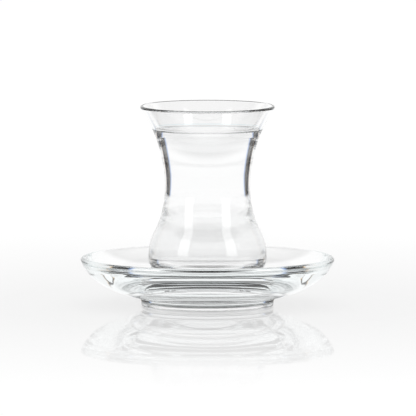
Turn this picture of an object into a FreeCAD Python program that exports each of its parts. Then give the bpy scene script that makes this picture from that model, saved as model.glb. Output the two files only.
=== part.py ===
"""Turkish tea glass on its saucer, filled with a clear drink: three turned bodies, in millimetres.

The frame has +Z up and its origin on the surface under the middle of the saucer's foot.
Each body is the revolution of one sketch in its XZ plane: the sketch's X is the radius, its Y the height.
"""
import FreeCAD, Part
import math
import os

import Sketcher

# Driving dimensions, in millimetres. Heights on the glass are measured from its own seat.
SIZES = {
    # glass
    "glass_height": 78.25,
    "rim_width": 62.0,
    "waist_width": 39.3,
    "belly_width": 54.5,
    "waist_level": 40.4,
    "belly_bend": 27.4,         # radius of the wall above the belly
    "belly_band": 0.5,          # height of the upright band round the belly
    "heel_round": 8.0,          # radius from the belly's band down to the seat
    "glass_wall": 1.5,
    "glass_floor": 6.0,         # glass between the seat and the drink
    "seat_bore": 29.0,          # width of the hollow inside the seating ring
    "seat_hollow": 1.2,         # height of that hollow
    # drink
    "drink_level": 68.6,
    # saucer
    "saucer_width": 116.9,
    "saucer_height": 22.36,
    "saucer_lip": 1.4,          # radius of the rounded rim
    "well_level": 14.0,         # height of the floor that the glass stands on
    "well_bend": 40.0,          # radius of the inner wall
    "rim_overhang": 9.15,       # how far the rim reaches past the shoulder, where the outer wall's bends meet
    "shoulder_level": 10.2,
    "steep_bend": 22.0,         # radius of the outer wall above the shoulder
    "neck_level": 1.1,          # height of the middle of the foot's fillet
    "foot_width": 60.8,
    "foot_bore": 53.0,
    "foot_edge": 0.6,           # radius of the foot's two lower edges
    "foot_fillet": 3.0,
    "recess_depth": 2.2,        # hollow under the saucer, inside the foot
    "recess_round": 1.4,
}

ORIGIN = (-1, 1)                # the sketch's own origin and axes, as constraints name them
ALONG_X = -1
ALONG_Y = -2
START, END, CENTRE = 1, 2, 3    # the named points of a line or an arc


def make_sheet(doc):
    """Write every driving dimension into a cell with an alias."""
    sheet = doc.addObject("Spreadsheet::Sheet", "Sizes")
    for row, (name, value) in enumerate(SIZES.items(), start=1):
        sheet.set(f"A{row}", name)
        sheet.set(f"B{row}", str(value))
        sheet.setAlias(f"B{row}", name)
    doc.recompute()
    return sheet


class Outline:
    """A closed chain of lines and arcs in the XZ plane of a body, solved by constraints."""

    def __init__(self, body, name):
        self.sketch = body.newObject("Sketcher::SketchObject", name)
        plane = next(f for f in body.Origin.OriginFeatures if f.Role == "XZ_Plane")
        self.sketch.AttachmentSupport = [(plane, "")]
        self.sketch.MapMode = "FlatFace"
        self.pieces = []            # (geometry index, point where the chain enters, where it leaves)
        self.here = None

    def start(self, point):
        self.here = point

    def line(self, to):
        """Add a straight piece and return its index."""
        a = FreeCAD.Vector(*self.here, 0)
        b = FreeCAD.Vector(*to, 0)
        index = self.sketch.addGeometry(Part.LineSegment(a, b), False)
        self.pieces.append((index, START, END))
        self.here = to
        return index

    def arc(self, centre, to, clockwise=False):
        """Add a round piece about centre and return its index."""
        radius = math.dist(centre, self.here)
        first = math.atan2(self.here[1] - centre[1], self.here[0] - centre[0])
        last = math.atan2(to[1] - centre[1], to[0] - centre[0])
        low, high = (last, first) if clockwise else (first, last)
        if high < low:
            high += 2 * math.pi
        circle = Part.Circle(FreeCAD.Vector(*centre, 0), FreeCAD.Vector(0, 0, 1), radius)
        index = self.sketch.addGeometry(Part.ArcOfCircle(circle, low, high), False)
        ends = (END, START) if clockwise else (START, END)
        self.pieces.append((index, *ends))
        self.here = to
        return index

    def join(self, smooth):
        """Close the chain: pieces named in smooth leave tangent to the next one, the rest meet at a point."""
        following = self.pieces[1:] + self.pieces[:1]
        for (one, _, leaves), (two, enters, _) in zip(self.pieces, following):
            kind = "Tangent" if one in smooth else "Coincident"
            self.rule(kind, one, leaves, two, enters)

    def rule(self, kind, *what):
        return self.sketch.addConstraint(Sketcher.Constraint(kind, *what))

    def size(self, kind, *what, sets):
        """Add a dimension whose value is the expression that sets gives."""
        value = self.value(sets)
        index = self.rule(kind, *what, value)
        self.sketch.setExpression(f"Constraints[{index}]", sets)

    def place(self, piece, point, across=None, up=None):
        """Fix a point's distance from the axis and its height by expressions."""
        if across:
            self.size("DistanceX", *ORIGIN, piece, point, sets=across)
        if up:
            self.size("DistanceY", *ORIGIN, piece, point, sets=up)

    def value(self, expression):
        """The number that an expression of sheet cells comes to."""
        return self.sketch.evalExpression(expression)

    def finish(self):
        """Stop if the outline isn't fully held, or its rules clash."""
        self.sketch.Document.recompute()
        left = self.sketch.solve()
        if left != 0 or self.sketch.ConflictingConstraints or self.sketch.RedundantConstraints:
            raise RuntimeError(f"{self.sketch.Name}: solver says {left}, "
                               f"clash {self.sketch.ConflictingConstraints}, "
                               f"spare {self.sketch.RedundantConstraints}")
        if not self.sketch.FullyConstrained:
            raise RuntimeError(f"{self.sketch.Name} is not fully held")


def between(centre, other, radius):
    """The point of a circle that faces another centre, or faces away from it if radius is negative."""
    reach = radius / math.dist(centre, other)
    return (centre[0] + (other[0] - centre[0]) * reach, centre[1] + (other[1] - centre[1]) * reach)


def belly_level(s):
    """Height at which the belly's band ends and the wall starts to draw in."""
    return s["heel_round"] + s["belly_band"]


BELLY_LEVEL = "Sizes.heel_round + Sizes.belly_band"


def wall_centres(s):
    """Centres of the glass wall's bends and of its rounded lip, shared by the outer and inner faces.

    The flare leaves the waist upright and touches the lip's round. The flank leaves the waist upright
    and runs into the belly's bend.
    """
    waist = s["waist_width"] / 2
    belly = s["belly_width"] / 2
    lip = s["glass_wall"] / 2
    lip_centre = (s["rim_width"] / 2 - lip, s["glass_height"] - lip)
    across = lip_centre[0] - waist
    up = lip_centre[1] - s["waist_level"]
    flare = (across ** 2 + up ** 2 - lip ** 2) / (2 * (across + lip))
    across = belly - waist
    down = s["waist_level"] - belly_level(s)
    flank = (across ** 2 + down ** 2) / (2 * across) - s["belly_bend"]
    return {
        "flare": (waist + flare, s["waist_level"]),
        "flank": (waist + flank, s["waist_level"]),
        "belly": (belly - s["belly_bend"], belly_level(s)),
        "lip": lip_centre,
    }


def hold_lip(outline, piece):
    """The lip is a half round of the wall's own thickness."""
    outline.place(piece, CENTRE, across="Sizes.rim_width / 2 - Sizes.glass_wall / 2",
                  up="Sizes.glass_height - Sizes.glass_wall / 2")
    outline.size("Radius", piece, sets="Sizes.glass_wall / 2")


def hold_bends(outline, flare, belly, inset):
    """Hold one wall face, which lies inset inside the outer one, at the waist and at the belly.

    Its flank is held by running smoothly into both.
    """
    outline.place(flare, CENTRE, up="Sizes.waist_level")
    outline.place(flare, END, across=f"Sizes.waist_width / 2 - {inset}", up="Sizes.waist_level")
    outline.size("Radius", belly, sets=f"Sizes.belly_bend - {inset}")
    outline.place(belly, START, across=f"Sizes.belly_width / 2 - {inset}", up=BELLY_LEVEL)


def draw_inner_wall(outline, s, centres):
    """The glass's inner face from the lip's round down to the middle of the floor, as pieces by name."""
    wall = s["glass_wall"]
    belly = s["belly_width"] / 2 - wall
    level = belly_level(s)
    floor = s["glass_floor"]
    heel = level - floor
    turn = between(centres["belly"], centres["flank"], s["belly_bend"] - wall)
    return {
        "flare": outline.arc(centres["flare"], (s["waist_width"] / 2 - wall, s["waist_level"])),
        "flank": outline.arc(centres["flank"], turn),
        "belly": outline.arc(centres["belly"], (belly, level), clockwise=True),
        "heel": outline.arc((belly - heel, level), (belly - heel, floor), clockwise=True),
        "floor": outline.line((0, floor)),
    }


def smooth_pieces(inner):
    """Every piece of the inner face runs smoothly into the next, but for the floor."""
    return [piece for name, piece in inner.items() if name != "floor"]


def hold_inner_wall(outline, inner):
    """Bind the inner face to the same sizes as the outer one."""
    hold_bends(outline, inner["flare"], inner["belly"], "Sizes.glass_wall")
    outline.rule("Horizontal", inner["heel"], CENTRE, inner["belly"], START)
    outline.rule("Horizontal", inner["floor"])
    outline.place(inner["floor"], END, up="Sizes.glass_floor")
    outline.rule("PointOnObject", inner["floor"], END, ALONG_Y)


def revolve(body, outline, name):
    """Turn a body's outline once round its own height."""
    solid = body.newObject("PartDesign::Revolution", name)
    solid.Profile = outline.sketch
    solid.ReferenceAxis = (outline.sketch, ["V_Axis"])
    solid.Angle = 360
    body.Document.recompute()
    return solid


def make_glass(doc, s):
    """The waisted glass: a hollow seat, a full belly, a narrow waist and a flared, rounded lip."""
    body = doc.addObject("PartDesign::Body", "tea_glass")
    outline = Outline(body, "glass_outline")
    centres = wall_centres(s)
    waist = s["waist_width"] / 2
    belly = s["belly_width"] / 2
    heel = s["heel_round"]
    lip = s["glass_wall"] / 2
    bore = s["seat_bore"] / 2
    hollow = s["seat_hollow"]
    # The hollow under the seat is a shallow dome: a circle through its edge and its top.
    dome = (bore ** 2 - hollow ** 2) / (2 * hollow)

    outline.start((0, s["glass_floor"]))
    axis = outline.line((0, hollow))
    ceiling = outline.arc((0, -dome), (bore, 0), clockwise=True)
    seat = outline.line((belly - heel, 0))
    foot = outline.arc((belly - heel, heel), (belly, heel))
    side = outline.line((belly, belly_level(s)))
    shoulder = outline.arc(centres["belly"], between(centres["belly"], centres["flank"], s["belly_bend"]))
    flank = outline.arc(centres["flank"], (waist, s["waist_level"]), clockwise=True)
    flare = outline.arc(centres["flare"], between(centres["lip"], centres["flare"], lip), clockwise=True)
    rim = outline.arc(centres["lip"], between(centres["lip"], centres["flare"], -lip))
    inner = draw_inner_wall(outline, s, centres)

    outline.join(smooth=(seat, foot, side, shoulder, flank, flare, rim, *smooth_pieces(inner)))
    outline.rule("PointOnObject", axis, END, ALONG_Y)
    outline.place(axis, END, up="Sizes.seat_hollow")
    outline.rule("PointOnObject", ceiling, CENTRE, ALONG_Y)
    outline.place(seat, START, across="Sizes.seat_bore / 2")
    outline.rule("PointOnObject", seat, START, ALONG_X)
    outline.rule("Horizontal", seat)
    outline.size("Radius", foot, sets="Sizes.heel_round")
    outline.rule("Vertical", side)
    hold_bends(outline, flare, shoulder, "0")
    hold_lip(outline, rim)
    hold_inner_wall(outline, inner)
    outline.finish()
    revolve(body, outline, "glass_turned")
    stand_on_well(body)
    return body


def make_drink(doc, s):
    """The drink: what the glass's inner face holds, cut off flat at the level."""
    body = doc.addObject("PartDesign::Body", "drink")
    outline = Outline(body, "drink_outline")
    centres = wall_centres(s)
    lip = s["glass_wall"] / 2
    brim = centres["lip"][1]
    flare = centres["flare"]
    reach = math.dist(flare, centres["lip"]) + lip

    outline.start((0, brim))
    top = outline.line((flare[0] - math.sqrt(reach ** 2 - (brim - flare[1]) ** 2), brim))
    inner = draw_inner_wall(outline, s, centres)
    axis = outline.line((0, brim))
    # The lip's circle is only a guide here: the inner face would touch it just above the brim.
    circle = Part.Circle(FreeCAD.Vector(*centres["lip"], 0), FreeCAD.Vector(0, 0, 1), lip)
    guide = outline.sketch.addGeometry(circle, True)

    outline.join(smooth=smooth_pieces(inner))
    hold_lip(outline, guide)
    outline.rule("Tangent", inner["flare"], guide)
    outline.place(top, END, up="Sizes.glass_height - Sizes.glass_wall / 2")
    outline.rule("Horizontal", top)
    outline.rule("PointOnObject", axis, END, ALONG_Y)
    hold_inner_wall(outline, inner)
    outline.finish()
    full = revolve(body, outline, "drink_turned")
    cut_at_level(body, full)
    stand_on_well(body)
    return body


def cut_at_level(body, full):
    """Take away everything above the drink's level."""
    sketch = body.newObject("Sketcher::SketchObject", "level_sketch")
    plane = next(f for f in body.Origin.OriginFeatures if f.Role == "XY_Plane")
    sketch.AttachmentSupport = [(plane, "")]
    sketch.MapMode = "FlatFace"
    sketch.setExpression("AttachmentOffset.Base.z", "Sizes.drink_level")
    circle = Part.Circle(FreeCAD.Vector(0, 0, 0), FreeCAD.Vector(0, 0, 1), SIZES["rim_width"])
    index = sketch.addGeometry(circle, False)
    sketch.addConstraint(Sketcher.Constraint("Coincident", index, CENTRE, *ORIGIN))
    radius = sketch.addConstraint(Sketcher.Constraint("Radius", index, SIZES["rim_width"]))
    sketch.setExpression(f"Constraints[{radius}]", "Sizes.rim_width")
    pocket = body.newObject("PartDesign::Pocket", "drink_level_cut")
    pocket.Profile = sketch
    pocket.Reversed = True
    pocket.setExpression("Length", "Sizes.glass_height")
    body.Document.recompute()
    if not pocket.Shape.Volume < full.Shape.Volume:
        raise RuntimeError("the cut at the drink's level takes nothing away")


def stand_on_well(body):
    """Glass and drink are drawn from the glass's seat, which stands on the saucer's floor."""
    body.setExpression("Placement.Base.z", "Sizes.well_level")


def meet(centre_a, radius_a, centre_b, radius_b, side):
    """One of the two points where two circles cross: side is +1 or -1."""
    across = centre_b[0] - centre_a[0]
    up = centre_b[1] - centre_a[1]
    apart = math.hypot(across, up)
    along = (radius_a ** 2 - radius_b ** 2 + apart ** 2) / (2 * apart)
    off = side * math.sqrt(radius_a ** 2 - along ** 2)
    return (centre_a[0] + (along * across - off * up) / apart,
            centre_a[1] + (along * up + off * across) / apart)


def make_saucer(doc, s):
    """The saucer: a bowl of two bends with a rounded rim, a flat well and a hollow foot ring."""
    body = doc.addObject("PartDesign::Body", "saucer")
    outline = Outline(body, "saucer_outline")
    lip = s["saucer_lip"]
    rim = (s["saucer_width"] / 2 - lip, s["saucer_height"] - lip)
    shoulder = (s["saucer_width"] / 2 - s["rim_overhang"], s["shoulder_level"])
    steep = s["steep_bend"]
    fillet, edge = s["foot_fillet"], s["foot_edge"]
    outer, inner = s["foot_width"] / 2, s["foot_bore"] / 2
    depth, corner = s["recess_depth"], s["recess_round"]
    well, bend = s["well_level"], s["well_bend"]

    steep_centre = meet(rim, steep - lip, shoulder, steep, -1)
    fillet_centre = (outer + fillet, s["neck_level"])
    # The shallow bend goes on from the steep one, and its radius is what lets it touch the neck's fillet.
    slant = ((steep_centre[0] - shoulder[0]) / steep, (steep_centre[1] - shoulder[1]) / steep)
    away = (fillet_centre[0] - shoulder[0], fillet_centre[1] - shoulder[1])
    shallow = ((away[0] ** 2 + away[1] ** 2 - fillet ** 2)
               / (2 * (fillet + slant[0] * away[0] + slant[1] * away[1])))
    shallow_centre = between(shoulder, steep_centre, shallow)
    foot_top = between(fillet_centre, shallow_centre, fillet)
    rim_out = between(rim, steep_centre, -lip)
    rise = well + bend - rim[1]
    well_centre = (rim[0] - math.sqrt((bend + lip) ** 2 - rise ** 2), well + bend)
    rim_in = between(rim, well_centre, lip)

    outline.start((0, well))
    axis = outline.line((0, depth))
    ceiling = outline.line((inner - corner, depth))
    recess = outline.arc((inner - corner, depth - corner), (inner, depth - corner), clockwise=True)
    bore = outline.line((inner, edge))
    edge_in = outline.arc((inner + edge, edge), (inner + edge, 0))
    ring = outline.line((outer - edge, 0))
    edge_out = outline.arc((outer - edge, edge), (outer, edge))
    foot = outline.line((outer, fillet_centre[1]))
    neck = outline.arc(fillet_centre, foot_top, clockwise=True)
    shallow_wall = outline.arc(shallow_centre, shoulder)
    steep_wall = outline.arc(steep_centre, rim_out)
    brim = outline.arc(rim, rim_in)
    well_wall = outline.arc(well_centre, (well_centre[0], well), clockwise=True)
    floor = outline.line((0, well))

    outline.join(smooth=(ceiling, recess, bore, edge_in, ring, edge_out, foot, neck,
                         shallow_wall, steep_wall, brim, well_wall))
    for flat in (ceiling, ring, floor):
        outline.rule("Horizontal", flat)
    for upright in (bore, foot):
        outline.rule("Vertical", upright)
    outline.rule("PointOnObject", axis, START, ALONG_Y)
    outline.rule("PointOnObject", axis, END, ALONG_Y)
    outline.place(axis, START, up="Sizes.well_level")
    outline.place(axis, END, up="Sizes.recess_depth")
    outline.size("Radius", recess, sets="Sizes.recess_round")
    outline.place(bore, START, across="Sizes.foot_bore / 2")
    outline.size("Radius", edge_in, sets="Sizes.foot_edge")
    outline.rule("PointOnObject", ring, START, ALONG_X)
    outline.size("Radius", edge_out, sets="Sizes.foot_edge")
    outline.place(foot, START, across="Sizes.foot_width / 2")
    outline.size("Radius", neck, sets="Sizes.foot_fillet")
    outline.place(neck, CENTRE, up="Sizes.neck_level")
    outline.place(shallow_wall, END, across="Sizes.saucer_width / 2 - Sizes.rim_overhang",
                  up="Sizes.shoulder_level")
    outline.size("Radius", steep_wall, sets="Sizes.steep_bend")
    outline.size("Radius", brim, sets="Sizes.saucer_lip")
    outline.place(brim, CENTRE, across="Sizes.saucer_width / 2 - Sizes.saucer_lip",
                  up="Sizes.saucer_height - Sizes.saucer_lip")
    outline.size("Radius", well_wall, sets="Sizes.well_bend")
    outline.finish()
    revolve(body, outline, "saucer_turned")
    return body


def check(doc, bodies):
    """Stop if any object failed or any body is not one valid solid."""
    for item in doc.Objects:
        if "Invalid" in item.State or "Error" in item.State:
            raise RuntimeError(f"{item.Name} failed: {item.State}")
    for body in bodies:
        shape = body.Shape
        if shape.isNull() or not shape.isValid() or len(shape.Solids) != 1:
            raise RuntimeError(f"{body.Label} is not one valid solid")


def main():
    doc = FreeCAD.newDocument("tea_glass_and_saucer")
    sheet = make_sheet(doc)
    sizes = {name: float(sheet.get(name)) for name in SIZES}
    bodies = [make_saucer(doc, sizes), make_glass(doc, sizes), make_drink(doc, sizes)]
    doc.recompute()
    check(doc, bodies)
    os.makedirs("parts", exist_ok=True)
    for body in bodies:
        body.Shape.exportStep(f"parts/{body.Label}.step")
        box = body.Shape.BoundBox
        print(f"{body.Label}: {body.Shape.Volume / 1000:.2f} cm3, "
              f"z {box.ZMin:.2f} to {box.ZMax:.2f}, width {box.XLength:.2f}")


main()
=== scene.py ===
"""A tulip-shaped tea glass, filled with clear water, on its thick glass saucer."""
import math

import bpy
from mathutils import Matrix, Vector


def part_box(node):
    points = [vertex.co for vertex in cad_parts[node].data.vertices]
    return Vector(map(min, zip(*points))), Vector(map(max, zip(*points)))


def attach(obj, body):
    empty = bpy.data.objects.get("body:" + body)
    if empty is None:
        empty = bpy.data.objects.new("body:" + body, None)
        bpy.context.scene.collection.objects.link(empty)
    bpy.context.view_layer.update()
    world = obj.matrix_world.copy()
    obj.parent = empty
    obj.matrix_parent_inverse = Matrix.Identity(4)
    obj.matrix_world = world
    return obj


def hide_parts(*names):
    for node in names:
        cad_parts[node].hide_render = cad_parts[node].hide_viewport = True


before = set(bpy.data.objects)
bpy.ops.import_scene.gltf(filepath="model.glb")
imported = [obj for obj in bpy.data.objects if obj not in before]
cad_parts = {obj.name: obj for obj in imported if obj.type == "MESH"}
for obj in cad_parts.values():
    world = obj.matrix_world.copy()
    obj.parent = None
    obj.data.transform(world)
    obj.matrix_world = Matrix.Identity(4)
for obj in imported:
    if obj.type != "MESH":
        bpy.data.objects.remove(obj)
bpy.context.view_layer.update()        # the bodies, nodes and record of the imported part

# ---------------------------------------------------------------- sizes, in metres
GLASS_LOW, GLASS_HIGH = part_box("tea_glass")
DRINK_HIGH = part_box("drink")[1]
SAUCER_LOW, SAUCER_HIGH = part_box("saucer")

SEAT = GLASS_LOW.z                    # the glass stands here, on the floor of the saucer's well
SEAT_AIR = 0.00002                    # hair of air left between two touching faces
RIM_RADIUS = GLASS_HIGH.x
RIM_LEVEL = GLASS_HIGH.z
WALL = 0.0015
WAIST_RADIUS = 0.01965
WAIST_LEVEL = SEAT + 0.0404
BELLY_RADIUS = 0.02725
BELLY_BEND = 0.0274
BELLY_BAND = 0.0005                   # short straight stretch between the belly and the heel
HEEL_ROUND = 0.0080
GLASS_FLOOR = SEAT + 0.0060
SEAT_BORE = 0.0145
SEAT_HOLLOW = 0.0012

WATER_LEVEL = DRINK_HIGH.z
MENISCUS = 0.0011                     # how far the water climbs the wall
WALL_BITE = 0.00003                   # how far the water reaches into the wall

SAUCER_RADIUS = SAUCER_HIGH.x
SAUCER_TOP = SAUCER_HIGH.z
SAUCER_LIP = 0.0014
WELL_LEVEL = SEAT
WELL_BEND = 0.0400
RIM_OVERHANG = 0.00915
SHOULDER_LEVEL = 0.0102
STEEP_BEND = 0.0220
NECK_LEVEL = 0.0011
FOOT_RADIUS = 0.0304
FOOT_BORE = 0.0265
FOOT_EDGE = 0.0006
FOOT_FILLET = 0.0030
RECESS_DEPTH = 0.0022
RECESS_ROUND = 0.0014

# ---------------------------------------------------------------- how finely a piece is cut
TURN_STEPS = 288
LONGEST_CHORD = 0.0011
WIDEST_TURN = 6.0                     # degrees
SAME_POINT = 1e-7
SAME_VERTEX = 1e-6
CORNER_ANGLE = 35                     # degrees past which an edge stays crisp


# ---------------------------------------------------------------- outlines
def bearing(start, end):
    """The angle, in degrees, of the line from one point to another."""
    return math.degrees(math.atan2(end[1] - start[1], end[0] - start[0]))


def polar(centre, radius, angle):
    """The point at a distance and an angle in degrees from a centre."""
    turn = math.radians(angle)
    return (centre[0] + radius * math.cos(turn), centre[1] + radius * math.sin(turn))


def arc(centre, radius, first, last):
    """Points of a round stretch, from one angle to another."""
    sweep = abs(last - first)
    steps = math.ceil(max(sweep / WIDEST_TURN, radius * math.radians(sweep) / LONGEST_CHORD))
    return [polar(centre, radius, first + (last - first) * i / steps) for i in range(steps + 1)]


def line(start, end):
    """Points of a straight stretch."""
    steps = math.ceil(math.dist(start, end) / LONGEST_CHORD)
    return [
        (start[0] + (end[0] - start[0]) * i / steps, start[1] + (end[1] - start[1]) * i / steps)
        for i in range(steps + 1)
    ]


def join(*stretches):
    """One outline made of several stretches, with the ends that they share kept once."""
    points = []
    for point in (p for stretch in stretches for p in stretch):
        if not points or math.dist(points[-1], point) > SAME_POINT:
            points.append(point)
    return points


def crossing(a, a_radius, b, b_radius):
    """The upper left point that lies at given distances from two points."""
    span = math.dist(a, b)
    along = (a_radius ** 2 - b_radius ** 2 + span ** 2) / (2 * span)
    aside = math.degrees(math.acos(along / a_radius))
    return polar(a, a_radius, bearing(a, b) + aside)


class GlassWall:
    """Centres and radii of the bends that the tea glass's two faces share."""

    lip = (RIM_RADIUS - WALL / 2, RIM_LEVEL - WALL / 2)
    belly_level = SEAT + HEEL_ROUND + BELLY_BAND
    belly = (BELLY_RADIUS - BELLY_BEND, belly_level)
    _across = lip[0] - WAIST_RADIUS
    _up = lip[1] - WAIST_LEVEL
    flare_bend = (_across ** 2 + _up ** 2 - (WALL / 2) ** 2) / (2 * (_across + WALL / 2))
    flare = (WAIST_RADIUS + flare_bend, WAIST_LEVEL)
    _in = BELLY_RADIUS - WAIST_RADIUS
    _down = WAIST_LEVEL - belly_level
    flank_bend = (_in ** 2 + _down ** 2) / (2 * _in) - BELLY_BEND
    flank = (WAIST_RADIUS + flank_bend, WAIST_LEVEL)
    lip_angle = bearing(flare, lip)
    belly_angle = bearing(belly, flank)

    @classmethod
    def side(cls, inset):
        """The wall from the belly up to the lip, as far inside the outer face as asked."""
        return join(
            arc(cls.belly, BELLY_BEND - inset, 0, cls.belly_angle),
            arc(cls.flank, cls.flank_bend + inset, cls.belly_angle + 180, 180),
            arc(cls.flare, cls.flare_bend + inset, 180, cls.lip_angle),
        )

    @classmethod
    def heel(cls, inset):
        """The inner heel and floor, from the axis out to the belly, as far inside the faces as asked."""
        bend = cls.belly_level - GLASS_FLOOR
        centre = (BELLY_RADIUS - WALL - bend, cls.belly_level)
        bend = bend - inset
        floor = centre[1] - bend
        return join(line((0, floor), (centre[0], floor)), arc(centre, bend, -90, 0))


def glass_outline():
    """The tea glass from the axis under its seat, round the outside, to the axis on its floor."""
    low = SEAT + SEAT_AIR
    dome_bend = (SEAT_BORE ** 2 + SEAT_HOLLOW ** 2) / (2 * SEAT_HOLLOW)
    dome = (0, low + SEAT_HOLLOW - dome_bend)
    dome_end = bearing(dome, (SEAT_BORE, low))
    heel = (BELLY_RADIUS - HEEL_ROUND, low + HEEL_ROUND)
    inner = GlassWall.heel(0) + GlassWall.side(WALL)
    return join(
        arc(dome, dome_bend, 90, dome_end),
        line((SEAT_BORE, low), (heel[0], low)),
        arc(heel, HEEL_ROUND, -90, 0),
        GlassWall.side(0),
        arc(GlassWall.lip, WALL / 2, GlassWall.lip_angle - 180, GlassWall.lip_angle),
        reversed(inner),
    )


def wall_radius(level):
    """Radius of the inner face on the flare, at a height."""
    bend = GlassWall.flare_bend + WALL
    return GlassWall.flare[0] - math.sqrt(bend ** 2 - (level - WAIST_LEVEL) ** 2)


def water_outline():
    """The water from the axis on the floor, up inside the wall and over its surface to the axis."""
    brim = WATER_LEVEL
    bend = MENISCUS
    wet = [p for p in GlassWall.side(WALL - WALL_BITE) if p[1] < brim - SAME_POINT]
    edge = (wall_radius(brim) + WALL_BITE, brim)
    hollow = (edge[0] - bend, brim)
    surface = brim - bend
    return join(
        GlassWall.heel(-WALL_BITE),
        wet,
        [edge],
        arc(hollow, bend, 0, -90),
        line((hollow[0], surface), (0, surface)),
    )


def saucer_outline():
    """The saucer from the axis under its recess, round foot, shoulder and lip, to the axis in its well."""
    recess = (FOOT_BORE - RECESS_ROUND, RECESS_DEPTH - RECESS_ROUND)
    inner_edge = (FOOT_BORE + FOOT_EDGE, FOOT_EDGE)
    outer_edge = (FOOT_RADIUS - FOOT_EDGE, FOOT_EDGE)
    neck = (FOOT_RADIUS + FOOT_FILLET, NECK_LEVEL)
    lip = (SAUCER_RADIUS - SAUCER_LIP, SAUCER_TOP - SAUCER_LIP)
    shoulder = (SAUCER_RADIUS - RIM_OVERHANG, SHOULDER_LEVEL)
    steep = crossing(shoulder, STEEP_BEND, lip, STEEP_BEND - SAUCER_LIP)
    shoulder_angle = bearing(steep, shoulder)
    inward = polar((0, 0), 1, shoulder_angle + 180)
    reach = (shoulder[0] - neck[0], shoulder[1] - neck[1])
    lean = inward[0] * reach[0] + inward[1] * reach[1]
    shallow_bend = (math.hypot(*reach) ** 2 - FOOT_FILLET ** 2) / (2 * (FOOT_FILLET - lean))
    shallow = polar(shoulder, shallow_bend, shoulder_angle + 180)
    drop = WELL_LEVEL + WELL_BEND - lip[1]
    well = (lip[0] - math.sqrt((WELL_BEND + SAUCER_LIP) ** 2 - drop ** 2), WELL_LEVEL + WELL_BEND)
    return join(
        line((0, RECESS_DEPTH), (recess[0], RECESS_DEPTH)),
        arc(recess, RECESS_ROUND, 90, 0),
        arc(inner_edge, FOOT_EDGE, 180, 270),
        arc(outer_edge, FOOT_EDGE, -90, 0),
        arc(neck, FOOT_FILLET, 180, bearing(neck, shallow)),
        arc(shallow, shallow_bend, bearing(shallow, neck), shoulder_angle),
        arc(steep, STEEP_BEND, shoulder_angle, bearing(steep, lip)),
        arc(lip, SAUCER_LIP, bearing(steep, lip), bearing(lip, well)),
        arc(well, WELL_BEND, bearing(lip, well) - 180, -90),
        line((well[0], WELL_LEVEL), (0, WELL_LEVEL)),
    )


# ---------------------------------------------------------------- nodes
def node(tree, kind, inputs=None, **settings):
    """Adds a node: its settings first, then each input, set to a value or linked to a socket."""
    made = tree.nodes.new(kind)
    for name, value in settings.items():
        setattr(made, name, value)
    for key, value in (inputs or {}).items():
        if isinstance(value, bpy.types.NodeSocket):
            tree.links.new(value, made.inputs[key])
        else:
            made.inputs[key].default_value = value
    return made


def maths(tree, operation, *values):
    """Adds a Math node and gives its result."""
    kind = "ShaderNodeMath"
    return node(tree, kind, dict(enumerate(values)), operation=operation).outputs[0]


def mixed(tree, factor, first, second, blend="MIX"):
    """A mix of two colours."""
    made = node(tree, "ShaderNodeMix", data_type="RGBA", blend_type=blend)
    sockets = [made.inputs[0]] + [socket for socket in made.inputs if socket.type == "RGBA"]
    for socket, value in zip(sockets, (factor, first, second)):
        if isinstance(value, bpy.types.NodeSocket):
            tree.links.new(value, socket)
        else:
            socket.default_value = value
    return next(socket for socket in made.outputs if socket.type == "RGBA")


def band(tree, value, start, end, first=0, last=1):
    """A value that runs from first to last as another one runs from start to end."""
    inputs = {"Value": value, "From Min": start, "From Max": end, "To Min": first, "To Max": last}
    return node(tree, "ShaderNodeMapRange", inputs).outputs[0]


def window(tree, value, low, high, soft=1.5):
    """One between two values, zero outside, with soft borders."""
    rise = band(tree, value, low - soft, low + soft)
    fall = band(tree, value, high + soft, high - soft)
    return maths(tree, "MULTIPLY", rise, fall)


def tree_inputs(tree):
    """The named inputs and the output of the turning tree."""
    sockets = (
        ("Outline", "INPUT", "NodeSocketGeometry"),
        ("Steps", "INPUT", "NodeSocketInt"),
        ("Corner Angle", "INPUT", "NodeSocketFloat"),
        ("Weld", "INPUT", "NodeSocketFloat"),
        ("Finish", "INPUT", "NodeSocketMaterial"),
        ("Solid", "OUTPUT", "NodeSocketGeometry"),
    )
    for name, way, kind in sockets:
        tree.interface.new_socket(name, in_out=way, socket_type=kind)
    return node(tree, "NodeGroupInput").outputs


def turned_grid(tree, given):
    """A grid with a row for each point of the outline, wrapped round the upright axis."""
    count = node(tree, "GeometryNodeAttributeDomainSize", {"Geometry": given["Outline"]})
    columns = maths(tree, "ADD", given["Steps"], 1)
    grid = node(tree, "GeometryNodeMeshGrid",
                {"Vertices X": count.outputs["Point Count"], "Vertices Y": columns})
    index = node(tree, "GeometryNodeInputIndex").outputs[0]
    row = maths(tree, "FLOOR", maths(tree, "DIVIDE", maths(tree, "ADD", index, 0.5), columns))
    column = maths(tree, "SUBTRACT", index, maths(tree, "MULTIPLY", row, columns))
    angle = maths(tree, "MULTIPLY", maths(tree, "DIVIDE", column, given["Steps"]), math.tau)
    here = node(tree, "GeometryNodeInputPosition").outputs[0]
    point = node(tree, "GeometryNodeSampleIndex", data_type="FLOAT_VECTOR")
    tree.links.new(given["Outline"], point.inputs["Geometry"])
    tree.links.new(here, point.inputs["Value"])
    tree.links.new(row, point.inputs["Index"])
    turned = node(tree, "ShaderNodeVectorRotate",
                  {"Vector": point.outputs[0], "Angle": angle}, rotation_type="Z_AXIS")
    skin = node(tree, "GeometryNodeSetPosition",
                {"Geometry": grid.outputs["Mesh"], "Position": turned.outputs[0]})
    return skin.outputs[0]


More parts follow.
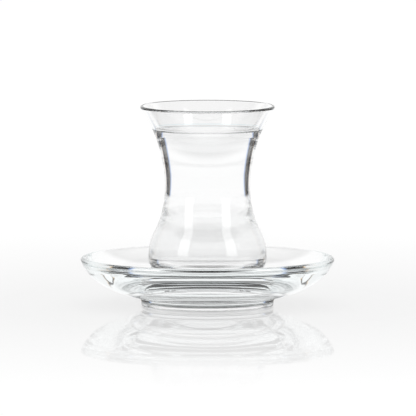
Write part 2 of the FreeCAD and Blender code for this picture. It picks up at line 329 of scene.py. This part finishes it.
def turning_tree():
    """Turns an outline of linked points round the upright axis into one closed, smooth solid."""
    tree = bpy.data.node_groups.new("turned_outline", "GeometryNodeTree")
    given = tree_inputs(tree)
    closed = node(tree, "GeometryNodeMergeByDistance",
                  {"Geometry": turned_grid(tree, given), "Distance": given["Weld"]})
    outward = node(tree, "GeometryNodeFlipFaces", {"Mesh": closed.outputs[0]})
    smooth = node(tree, "GeometryNodeSetShadeSmooth", {"Geometry": outward.outputs[0]}, domain="FACE")
    bend = node(tree, "GeometryNodeInputMeshEdgeAngle").outputs[0]
    corner = maths(tree, "GREATER_THAN", bend, given["Corner Angle"])
    crisp = node(tree, "GeometryNodeSetShadeSmooth",
                 {"Geometry": smooth.outputs[0], "Selection": corner, "Shade Smooth": False},
                 domain="EDGE")
    whole = node(tree, "GeometryNodeRealizeInstances", {"Geometry": crisp.outputs[0]})
    done = node(tree, "GeometryNodeSetMaterial",
                {"Geometry": whole.outputs[0], "Material": given["Finish"]})
    node(tree, "NodeGroupOutput", {"Solid": done.outputs[0]})
    return tree


def turned_piece(name, outline, finish, tree):
    """A plain mesh piece turned from its outline by the node tree."""
    links = [(i, i + 1) for i in range(len(outline) - 1)]
    profile = bpy.data.meshes.new(name + "_outline")
    profile.from_pydata([(radius, 0, height) for radius, height in outline], links, [])
    piece = bpy.data.objects.new(name, profile)
    bpy.context.scene.collection.objects.link(piece)
    modifier = piece.modifiers.new("Turned", "NODES")
    modifier.node_group = tree
    values = {
        "Steps": TURN_STEPS,
        "Corner Angle": math.radians(CORNER_ANGLE),
        "Weld": SAME_VERTEX,
        "Finish": finish,
    }
    for socket in tree.interface.items_tree:
        if socket.name in values:
            modifier[socket.identifier] = values[socket.name]
    evaluated = piece.evaluated_get(bpy.context.evaluated_depsgraph_get())
    mesh = bpy.data.meshes.new_from_object(evaluated)
    piece.modifiers.remove(modifier)
    mesh.materials.clear()
    mesh.materials.append(finish)
    mesh.polygons.foreach_set("material_index", [0] * len(mesh.polygons))
    piece.data = mesh
    mesh.name = name
    return piece


# ---------------------------------------------------------------- finishes
GLASS_IOR = 1.52
WATER_IOR = 1.333
HAZE_SCALE = 90.0                     # grain of the haze, per metre
HAZE_DETAIL = 4.0
HAZE_RANGE = (0.5, 0.9)               # of the grain, where the haze starts and is full


def clear_material(name, ior, tint, density, wave_size, wave_depth, haze):
    """A clear solid: faint waves left by its making, a breath of haze, and a tint where it is thick."""
    material = bpy.data.materials.new(name)
    material.use_nodes = True
    tree = material.node_tree
    surface = tree.nodes["Principled BSDF"]
    surface.inputs["Base Color"].default_value = (1, 1, 1, 1)
    surface.inputs["IOR"].default_value = ior
    surface.inputs["Transmission Weight"].default_value = 1
    place = node(tree, "ShaderNodeTexCoord").outputs["Object"]
    waves = node(tree, "ShaderNodeTexNoise", {"Vector": place, "Scale": 1 / wave_size, "Detail": 1.0})
    relief = node(tree, "ShaderNodeBump", {"Height": waves.outputs["Fac"], "Distance": wave_depth})
    tree.links.new(relief.outputs[0], surface.inputs["Normal"])
    film = node(tree, "ShaderNodeTexNoise", {"Vector": place, "Scale": HAZE_SCALE, "Detail": HAZE_DETAIL})
    rough = band(tree, film.outputs["Fac"], *HAZE_RANGE, 0, haze)
    tree.links.new(rough, surface.inputs["Roughness"])
    body = node(tree, "ShaderNodeVolumeAbsorption", {"Color": (*tint, 1), "Density": density})
    tree.links.new(body.outputs[0], tree.nodes["Material Output"].inputs["Volume"])
    return material


def blown_glass():
    """Thin clear glass with a cool tint in its heavy base."""
    return clear_material("blown_glass", GLASS_IOR, tint=(0.72, 0.95, 0.97), density=1.2,
                          wave_size=0.012, wave_depth=0.000004, haze=0.01)


def pressed_glass():
    """Thick clear saucer glass, slightly greener and wavier than the blown one."""
    return clear_material("pressed_glass", GLASS_IOR, tint=(0.70, 0.94, 0.96), density=1.2,
                          wave_size=0.016, wave_depth=0.00002, haze=0.01)


def still_water():
    """Clear water with a barely moving surface."""
    return clear_material("still_water", WATER_IOR, tint=(0.80, 0.96, 1.0), density=0.5,
                          wave_size=0.020, wave_depth=0.000002, haze=0.0)


# ---------------------------------------------------------------- light
# Brightness or colour of the surround, by degrees from straight behind the glass: white, with a
# dark flag on each side, whose edges are a little blue and orange. Only glass shows the flags.
SURROUND = (
    (0, 1),
    (33, 1),
    (35, (0.42, 0.55, 0.85)),
    (37, 0),
    (50, 0),
    (52, (0.85, 0.62, 0.40)),
    (54, 0.9),
    (180, 0.9),
)
SKY = ((0, 1), (30, 1), (36, 0), (90, 0))     # the same, by degrees above the horizon
SOFTBOX_AZIMUTH = (39, 61)            # from the camera's side, to the left and to the right
SOFTBOX_ELEVATION = (3, 50)
SOFTBOX_STRENGTH = 3.0


def ramp(tree, value, stops, span):
    """A colour ramp over a value in degrees, from 0 to span."""
    made = node(tree, "ShaderNodeValToRGB", {"Fac": maths(tree, "DIVIDE", value, span)})
    elements = made.color_ramp.elements
    elements.remove(elements[1])
    for index, (angle, colour) in enumerate(stops):
        element = elements[0] if index == 0 else elements.new(angle / span)
        element.position = angle / span
        element.color = (*colour, 1) if isinstance(colour, tuple) else (colour, colour, colour, 1)
    return made.outputs["Color"]


def surround(tree, vector):
    """The colour of the surround in the direction of a vector."""
    axes = node(tree, "ShaderNodeSeparateXYZ", {"Vector": vector}).outputs
    azimuth = maths(tree, "ARCTAN2", maths(tree, "ABSOLUTE", axes["X"]), axes["Y"])
    return ramp(tree, maths(tree, "DEGREES", azimuth), SURROUND, 180)


def soft_boxes(tree, view, height):
    """One towards the two soft boxes that stand in front of the glass, zero elsewhere."""
    axes = node(tree, "ShaderNodeSeparateXYZ", {"Vector": view}).outputs
    forward = maths(tree, "MULTIPLY", axes["Y"], -1)
    side = maths(tree, "DEGREES", maths(tree, "ARCTAN2", maths(tree, "ABSOLUTE", axes["X"]), forward))
    across = window(tree, side, *SOFTBOX_AZIMUTH)
    return maths(tree, "MULTIPLY", across, window(tree, height, *SOFTBOX_ELEVATION))


def make_world():
    """Plain white seen directly. Glass shows the flags through it and mirrors the soft boxes."""
    world = bpy.data.worlds.new("studio")
    bpy.context.scene.world = world
    world.use_nodes = True
    tree = world.node_tree
    ray = node(tree, "ShaderNodeLightPath").outputs
    view = node(tree, "ShaderNodeTexCoord").outputs["Generated"]
    up = node(tree, "ShaderNodeSeparateXYZ", {"Vector": view}).outputs["Z"]
    height = maths(tree, "DEGREES", maths(tree, "ARCSINE", up))
    flags = mixed(tree, ray["Is Transmission Ray"], (1, 1, 1, 1), surround(tree, view))
    glassy = mixed(tree, 1, flags, ramp(tree, height, SKY, 90), "MULTIPLY")
    mirrored = maths(tree, "SUBTRACT", ray["Is Glossy Ray"], ray["Is Transmission Ray"])
    boxes = maths(tree, "MULTIPLY", soft_boxes(tree, view, height), maths(tree, "MAXIMUM", mirrored, 0))
    shine = maths(tree, "MULTIPLY", boxes, SOFTBOX_STRENGTH)
    plain = maths(tree, "MAXIMUM", ray["Is Camera Ray"], ray["Is Diffuse Ray"])
    pattern = node(tree, "ShaderNodeBackground", {"Color": glassy})
    white = node(tree, "ShaderNodeBackground", {"Color": (1, 1, 1, 1), "Strength": 1.0})
    glare = node(tree, "ShaderNodeBackground", {"Color": (1, 1, 1, 1), "Strength": shine})
    seen = node(tree, "ShaderNodeMixShader", {0: plain, 1: pattern.outputs[0], 2: white.outputs[0]})
    lit = node(tree, "ShaderNodeAddShader", {0: seen.outputs[0], 1: glare.outputs[0]})
    tree.links.new(lit.outputs[0], tree.nodes["World Output"].inputs["Surface"])


FLOOR_RADIUS = 6.0
FLOOR_STEPS = 64
FLOOR_GAP = 0.00005
FLOOR_WHITE = (0.20, 0.26)            # radii between which the white floor gives way to the flags
FLOOR_NEAR = (0.085, 0.100)           # radii up to which the floor is bright from any angle
FLOOR_PAINTED_SHEEN = (0.40, 0.55)            # beyond them, how far it has to turn away to shine with a painted sheen, a glow that stands in for reflection
FLOOR_UNLIT = 0.05
PAINTED_SHADOW_RING = (0.0270, 0.0365)            # a ring of painted shadow on the floor where the foot stands, seen only through glass
PAINTED_SHADOW_SOFT = 0.0012
PAINTED_SHADOW_DARK = 0.75
MATT_WEIGHT = 0.20
GLOW_WEIGHT = 1.01 - MATT_WEIGHT
MIRROR_WEIGHT = 0.40
MIRROR_BLUR = 0.02
MIRROR_FADE = (0.36, 0.10)            # radii between which the floor's reflection grows to full


def floor_through_glass(tree, place, away):
    """The floor as glass shows it: white near by, further out the surround's flags in a painted reflection
    that glows brighter as the floor turns away, and a ring of painted shadow round the foot.
    """
    far = band(tree, away, *FLOOR_WHITE)
    colour = mixed(tree, far, (1, 1, 1, 1), surround(tree, place))
    # Painted sheen: the floor glows brighter the more it turns away from the ray, standing in for a
    # reflection.
    turned_away = node(tree, "ShaderNodeLayerWeight", {"Blend": 0.5}).outputs["Facing"]
    glow_with_painted_sheen = band(tree, turned_away, *FLOOR_PAINTED_SHEEN, FLOOR_UNLIT, 1)
    glow_with_painted_sheen = maths(tree, "MAXIMUM", glow_with_painted_sheen, band(tree, away, *FLOOR_NEAR, 1, 0))
    # Painted shadow: the floor's glow is dimmed in a ring round the foot, shown only through or in the
    # glass.
    painted_shadow = maths(tree, "MULTIPLY", window(tree, away, *PAINTED_SHADOW_RING, PAINTED_SHADOW_SOFT), PAINTED_SHADOW_DARK)
    lit = maths(tree, "MULTIPLY", glow_with_painted_sheen, maths(tree, "SUBTRACT", 1, painted_shadow))
    return node(tree, "ShaderNodeEmission", {"Color": colour, "Strength": lit}).outputs[0]


def floor_in_view(tree, away):
    """The floor seen directly: white, with a soft shadow and a reflection that fades outwards."""
    glow = node(tree, "ShaderNodeEmission", {"Strength": GLOW_WEIGHT})
    matt = node(tree, "ShaderNodeBsdfDiffuse", {"Color": (MATT_WEIGHT, MATT_WEIGHT, MATT_WEIGHT, 1)})
    plain = node(tree, "ShaderNodeAddShader", {0: glow.outputs[0], 1: matt.outputs[0]})
    mirror = node(tree, "ShaderNodeBsdfGlossy", {"Roughness": MIRROR_BLUR})
    near = band(tree, away, *MIRROR_FADE, 0, MIRROR_WEIGHT)
    return node(tree, "ShaderNodeMixShader",
                {0: near, 1: plain.outputs[0], 2: mirror.outputs[0]}).outputs[0]


def floor_material():
    """Glossy white for the eye; for what the glass shows, a glow with painted sheen, painted reflection of
    the flags and painted shadow round the foot.
    """
    material = bpy.data.materials.new("white_floor")
    material.use_nodes = True
    tree = material.node_tree
    tree.nodes.remove(tree.nodes["Principled BSDF"])
    ray = node(tree, "ShaderNodeLightPath").outputs
    place = node(tree, "ShaderNodeTexCoord").outputs["Object"]
    away = node(tree, "ShaderNodeVectorMath", {0: place}, operation="LENGTH").outputs["Value"]
    by_glass = maths(tree, "MAXIMUM", ray["Is Transmission Ray"], ray["Is Glossy Ray"])
    direct = floor_in_view(tree, away)
    refracted = floor_through_glass(tree, place, away)
    shown = node(tree, "ShaderNodeMixShader", {0: by_glass, 1: direct, 2: refracted})
    tree.links.new(shown.outputs[0], tree.nodes["Material Output"].inputs["Surface"])
    return material


def make_floor():
    """A wide round floor, a hair under the foot."""
    rim = [polar((0, 0), FLOOR_RADIUS, 360 * i / FLOOR_STEPS) for i in range(FLOOR_STEPS)]
    mesh = bpy.data.meshes.new("floor")
    mesh.from_pydata([(x, y, SAUCER_LOW.z - FLOOR_GAP) for x, y in rim], [], [range(FLOOR_STEPS)])
    floor = bpy.data.objects.new("floor", mesh)
    bpy.context.scene.collection.objects.link(floor)
    mesh.materials.append(floor_material())


# ---------------------------------------------------------------- camera
CAMERA_ELEVATION = 5.5                # degrees above the horizon
CAMERA_LENS = 1200
CAMERA_SENSOR = 36
FRAME_WIDTH = 0.19162                 # width seen at the glass
AIM = Vector((0.00023, 0, 0.04489))
CAMERA_REACH = 100


def make_camera():
    """A long lens, just above the rim of the glass."""
    data = bpy.data.cameras.new("camera")
    data.lens = CAMERA_LENS
    data.sensor_width = CAMERA_SENSOR
    data.clip_end = CAMERA_REACH
    camera = bpy.data.objects.new("camera", data)
    bpy.context.scene.collection.objects.link(camera)
    tilt = math.radians(CAMERA_ELEVATION)
    back = Vector((0, -math.cos(tilt), math.sin(tilt)))
    camera.location = AIM + back * (FRAME_WIDTH * CAMERA_LENS / CAMERA_SENSOR)
    camera.rotation_mode = "QUATERNION"
    camera.rotation_quaternion = (-back).to_track_quat("-Z", "Y")
    bpy.context.scene.camera = camera


def set_scene():
    """Plain colours, and enough bounces for glass behind glass."""
    scene = bpy.context.scene
    scene.view_settings.view_transform = "Standard"
    scene.cycles.max_bounces = 32
    scene.cycles.transmission_bounces = 32
    scene.cycles.glossy_bounces = 24


def make_pieces():
    """The glass, its water and the saucer, each standing for its CAD solid."""
    tree = turning_tree()
    pieces = (
        ("glass_body", glass_outline(), blown_glass(), "tea_glass", "clear_glass"),
        ("water_fill", water_outline(), still_water(), "drink", "clear_drink"),
        ("saucer_body", saucer_outline(), pressed_glass(), "saucer", "saucer_glass"),
    )
    for name, outline, finish, solid, slot in pieces:
        piece = turned_piece(name, outline, finish, tree)
        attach(piece, "root")
        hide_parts(solid)


set_scene()
make_pieces()
make_world()
make_floor()
make_camera()
